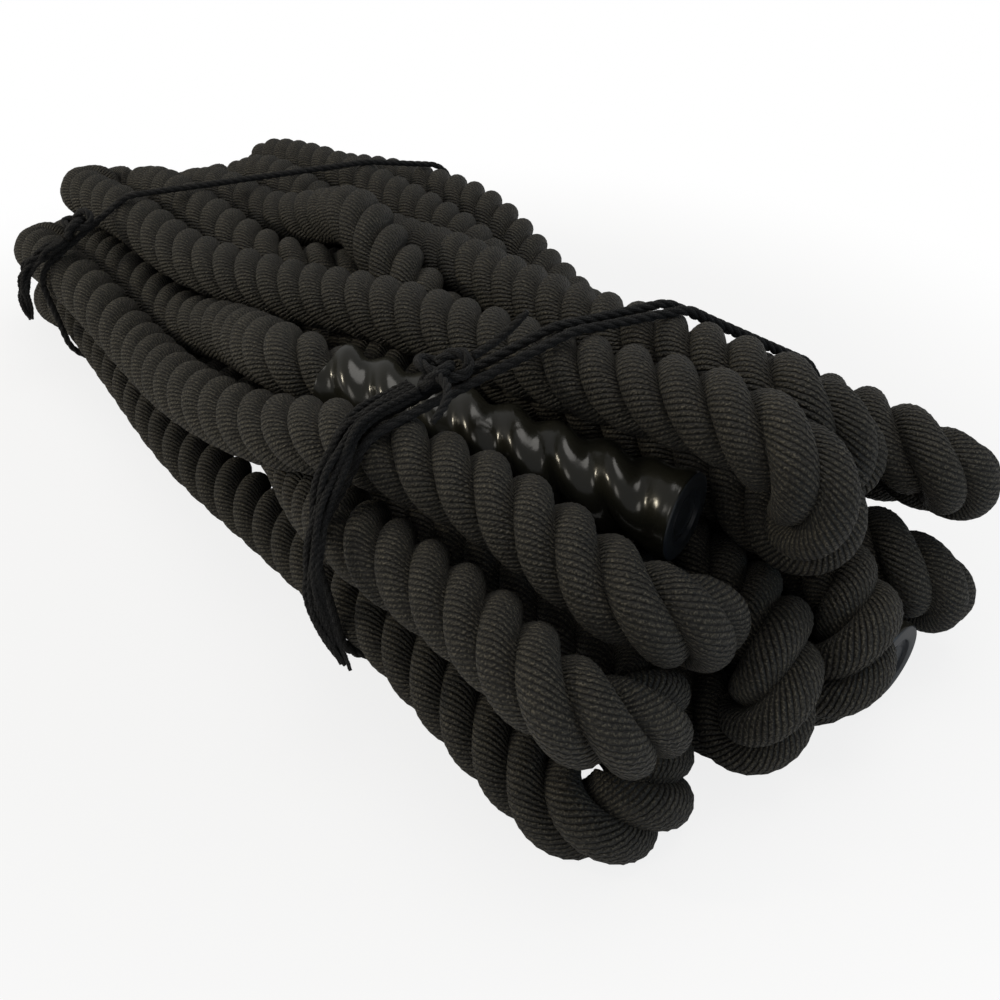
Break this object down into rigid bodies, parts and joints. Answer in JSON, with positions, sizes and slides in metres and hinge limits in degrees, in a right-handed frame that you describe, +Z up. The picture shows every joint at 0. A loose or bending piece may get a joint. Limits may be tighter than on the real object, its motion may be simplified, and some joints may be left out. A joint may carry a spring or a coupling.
{
  "type": "battle rope",
  "caption": "Folded battle rope: a thick laid training rope gathered into a hank, held by knotted yarn ties with tassels, with a shrunk grip sleeve on each end.",
  "frame": {"origin": "on the floor, under the middle of the hank's overall box", "axes": "+X along the runs, towards the handles; +Z up, square to the floor that the hank lies on"},
  "size_m": [0.7772, 0.3444, 0.1765],
  "materials": {
    "rope": "spun synthetic yarn, matt",
    "sleeve": "shrunk sleeve, glossy",
    "tie": "loose spun yarn, matt"
  },
  "bodies": {
    "root": {"rope_hank": "rope", "upper_strand_1": "rope", "upper_strand_2": "rope", "upper_strand_3": "rope", "lower_strand_1": "rope", "lower_strand_2": "rope", "lower_strand_3": "rope", "upper_sleeve": "sleeve", "lower_sleeve": "sleeve", "near_band_1": "tie", "near_band_2": "tie", "far_band": "tie", "near_knot": "tie", "far_knot": "tie", "near_tail_1": "tie", "near_tail_2": "tie", "near_tassel_yarn_1": "tie", "near_tassel_yarn_2": "tie", "near_tassel_yarn_3": "tie", "near_tassel_yarn_4": "tie", "near_tassel_yarn_5": "tie", "near_tassel_yarn_6": "tie", "near_tassel_yarn_7": "tie", "near_tassel_yarn_8": "tie", "far_tassel_yarn_1": "tie", "far_tassel_yarn_2": "tie", "far_tassel_yarn_3": "tie", "far_tassel_yarn_4": "tie", "far_tassel_yarn_5": "tie", "far_tassel_yarn_6": "tie", "far_tassel_yarn_7": "tie", "far_tassel_yarn_8": "tie"}
  },
  "joints": []
}
